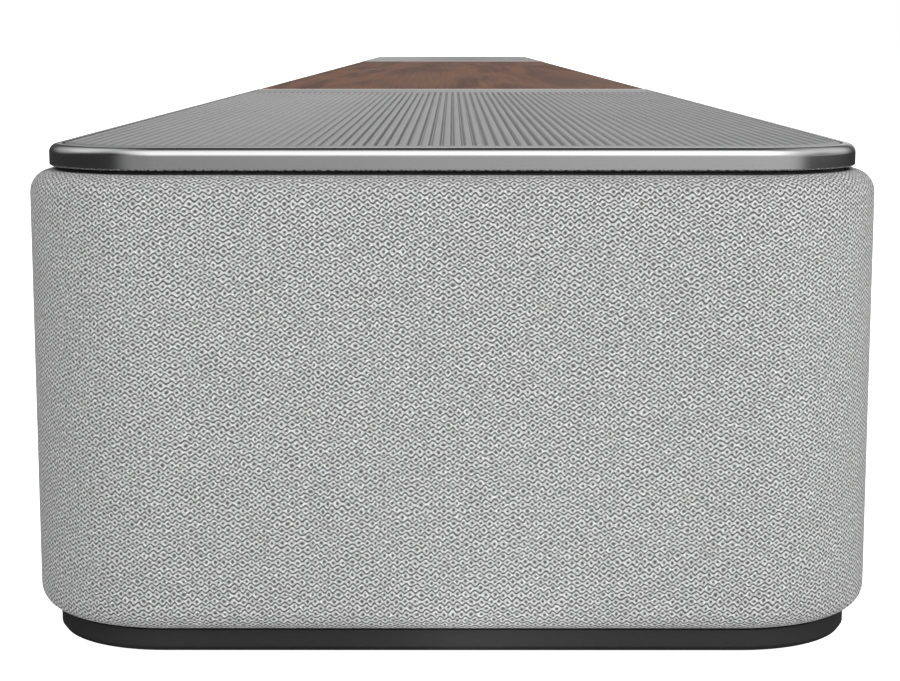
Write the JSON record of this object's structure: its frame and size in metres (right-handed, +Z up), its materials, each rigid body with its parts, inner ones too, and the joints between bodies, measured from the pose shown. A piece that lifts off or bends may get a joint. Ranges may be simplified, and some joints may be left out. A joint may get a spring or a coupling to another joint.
{
  "type": "soundbar",
  "caption": "Long low soundbar with a knitted fabric skin, a ribbed metal and walnut top, a black base, upward-firing woofers, small drivers all round and a socket bay behind.",
  "frame": {"origin": "on the surface that the feet stand on, under the middle of the bar", "axes": "+X along the bar, towards its right end as seen from the front; the front faces -Y; +Z up"},
  "size_m": [1.372, 0.126, 0.076],
  "materials": {
    "knit": "heathered light grey knit",
    "satin_metal": "satin, bead-blasted and anodised",
    "walnut": "oiled dark walnut veneer",
    "black_plastic": "fine moulded grain",
    "rubber": "matt",
    "cone_paper": "coated black pulp",
    "steel": "pressed and plated",
    "circuit_board": "green solder mask",
    "heat_sink_metal": "extruded",
    "brass": "turned",
    "button_metal": "satin, anodised"
  },
  "bodies": {
    "soundbar": {"base_tray": "black_plastic", "cabinet": "black_plastic", "front_baffle": "black_plastic", "top_deck": "black_plastic", "grille_frame": "black_plastic", "fabric_sleeve": "knit", "rear_cover": "black_plastic", "io_plate": "black_plastic", "power_inlet": "black_plastic", "hdmi_socket_1": "steel", "hdmi_socket_2": "steel", "optical_socket": "black_plastic", "usb_socket": "steel", "subwoofer_socket": "black_plastic", "bracket_insert_left": "brass", "bracket_insert_right": "brass", "top_trim": "satin_metal", "top_grille_left": "satin_metal", "top_grille_right": "satin_metal", "wood_panel": "walnut", "foot_front_left": "rubber", "foot_front_right": "rubber", "foot_rear_left": "rubber", "foot_rear_right": "rubber", "horn_tweeter": "black_plastic", "main_board": "circuit_board", "power_supply": "circuit_board", "heat_sink": "heat_sink_metal", "display_module": "black_plastic", "wifi_antenna": "circuit_board", "button_board": "circuit_board", "woofer_left_outer_basket": "steel", "woofer_left_inner_basket": "steel", "woofer_right_inner_basket": "steel", "woofer_right_outer_basket": "steel", "upfiring_left_basket": "steel", "upfiring_right_basket": "steel", "front_left_basket": "steel", "centre_left_basket": "steel", "centre_right_basket": "steel", "front_right_basket": "steel", "side_left_basket": "steel", "side_right_basket": "steel"},
    "woofer_left_outer_cone": {"woofer_left_outer_cone": "cone_paper"},
    "woofer_left_inner_cone": {"woofer_left_inner_cone": "cone_paper"},
    "woofer_right_inner_cone": {"woofer_right_inner_cone": "cone_paper"},
    "woofer_right_outer_cone": {"woofer_right_outer_cone": "cone_paper"},
    "upfiring_left_cone": {"upfiring_left_cone": "cone_paper"},
    "upfiring_right_cone": {"upfiring_right_cone": "cone_paper"},
    "front_left_cone": {"front_left_cone": "cone_paper"},
    "centre_left_cone": {"centre_left_cone": "cone_paper"},
    "centre_right_cone": {"centre_right_cone": "cone_paper"},
    "front_right_cone": {"front_right_cone": "cone_paper"},
    "side_left_cone": {"side_left_cone": "cone_paper"},
    "side_right_cone": {"side_right_cone": "cone_paper"},
    "power_button": {"power_button": "button_metal"},
    "source_button": {"source_button": "button_metal"},
    "volume_down_button": {"volume_down_button": "button_metal"},
    "volume_up_button": {"volume_up_button": "button_metal"}
  },
  "joints": [
    {"name": "woofer_left_outer_stroke", "type": "slide", "parent": "soundbar", "child": "woofer_left_outer_cone", "axis": [0, 0, 1], "range_m": [-0.0035, 0.0035], "stiffness_N_per_m": 1600},
    {"name": "woofer_left_inner_stroke", "type": "slide", "parent": "soundbar", "child": "woofer_left_inner_cone", "axis": [0, 0, 1], "range_m": [-0.0035, 0.0035], "stiffness_N_per_m": 1600},
    {"name": "woofer_right_inner_stroke", "type": "slide", "parent": "soundbar", "child": "woofer_right_inner_cone", "axis": [0, 0, 1], "range_m": [-0.0035, 0.0035], "stiffness_N_per_m": 1600},
    {"name": "woofer_right_outer_stroke", "type": "slide", "parent": "soundbar", "child": "woofer_right_outer_cone", "axis": [0, 0, 1], "range_m": [-0.0035, 0.0035], "stiffness_N_per_m": 1600},
    {"name": "upfiring_left_stroke", "type": "slide", "parent": "soundbar", "child": "upfiring_left_cone", "axis": [0, -0.342, 0.9397], "range_m": [-0.002, 0.002], "stiffness_N_per_m": 1200},
    {"name": "upfiring_right_stroke", "type": "slide", "parent": "soundbar", "child": "upfiring_right_cone", "axis": [0, -0.342, 0.9397], "range_m": [-0.002, 0.002], "stiffness_N_per_m": 1200},
    {"name": "front_left_stroke", "type": "slide", "parent": "soundbar", "child": "front_left_cone", "axis": [0, -1, 0], "range_m": [-0.002, 0.002], "stiffness_N_per_m": 1200},
    {"name": "centre_left_stroke", "type": "slide", "parent": "soundbar", "child": "centre_left_cone", "axis": [0, -1, 0], "range_m": [-0.002, 0.002], "stiffness_N_per_m": 1200},
    {"name": "centre_right_stroke", "type": "slide", "parent": "soundbar", "child": "centre_right_cone", "axis": [0, -1, 0], "range_m": [-0.002, 0.002], "stiffness_N_per_m": 1200},
    {"name": "front_right_stroke", "type": "slide", "parent": "soundbar", "child": "front_right_cone", "axis": [0, -1, 0], "range_m": [-0.002, 0.002], "stiffness_N_per_m": 1200},
    {"name": "side_left_stroke", "type": "slide", "parent": "soundbar", "child": "side_left_cone", "axis": [-1, 0, 0], "range_m": [-0.002, 0.002], "stiffness_N_per_m": 1200},
    {"name": "side_right_stroke", "type": "slide", "parent": "soundbar", "child": "side_right_cone", "axis": [1, 0, 0], "range_m": [-0.002, 0.002], "stiffness_N_per_m": 1200},
    {"name": "power_button_press", "type": "slide", "parent": "soundbar", "child": "power_button", "axis": [0, 0, -1], "range_m": [0, 0.0008], "stiffness_N_per_m": 900, "springref_m": -0.0005},
    {"name": "source_button_press", "type": "slide", "parent": "soundbar", "child": "source_button", "axis": [0, 0, -1], "range_m": [0, 0.0008], "stiffness_N_per_m": 900, "springref_m": -0.0005},
    {"name": "volume_down_button_press", "type": "slide", "parent": "soundbar", "child": "volume_down_button", "axis": [0, 0, -1], "range_m": [0, 0.0008], "stiffness_N_per_m": 900, "springref_m": -0.0005},
    {"name": "volume_up_button_press", "type": "slide", "parent": "soundbar", "child": "volume_up_button", "axis": [0, 0, -1], "range_m": [0, 0.0008], "stiffness_N_per_m": 900, "springref_m": -0.0005}
  ]
}
